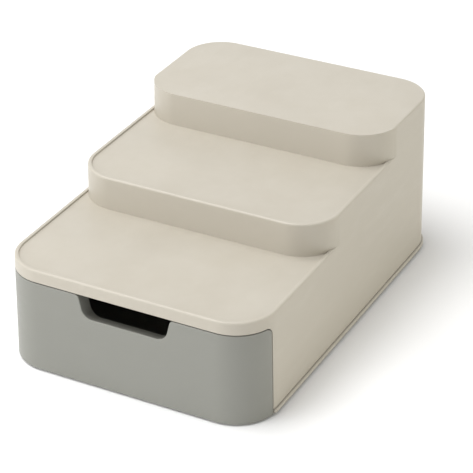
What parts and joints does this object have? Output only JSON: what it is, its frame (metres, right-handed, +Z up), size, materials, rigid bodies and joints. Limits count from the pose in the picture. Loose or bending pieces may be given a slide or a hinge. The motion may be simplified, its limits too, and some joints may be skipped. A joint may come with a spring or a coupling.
{
  "type": "condiment caddy with drawer",
  "caption": "Stepped cupboard caddy: rimmed shelves rising to the back over a slide-out drawer whose wrap-round front has a finger notch in its top edge.",
  "frame": {"origin": "table height, under the middle of the outline", "axes": "+Z up, the drawer faces -Y and opens that way, +X to the right of someone facing the back wall"},
  "size_m": [0.175, 0.26, 0.11],
  "materials": {
    "stone_plastic": "fine satin texture, warm stone",
    "grey_plastic": "fine satin texture, green grey",
    "foot_rubber": "matt soft rubber",
    "screw_steel": "zinc-plated steel"
  },
  "bodies": {
    "housing": {"tiered_housing": "stone_plastic", "base_plate": "stone_plastic", "foot_front_left": "foot_rubber", "foot_front_right": "foot_rubber", "foot_rear_left": "foot_rubber", "foot_rear_right": "foot_rubber", "base_screw_front_left": "screw_steel", "base_screw_front_right": "screw_steel", "base_screw_rear_left": "screw_steel", "base_screw_rear_right": "screw_steel"},
    "drawer": {"drawer_tray": "grey_plastic", "drawer_front": "grey_plastic", "front_screw_lower_left": "screw_steel", "front_screw_lower_right": "screw_steel", "front_screw_upper_left": "screw_steel", "front_screw_upper_right": "screw_steel"}
  },
  "joints": [
    {"name": "drawer_slide", "type": "slide", "parent": "housing", "child": "drawer", "axis": [0, -1, 0], "range_m": [0, 0.18]}
  ]
}
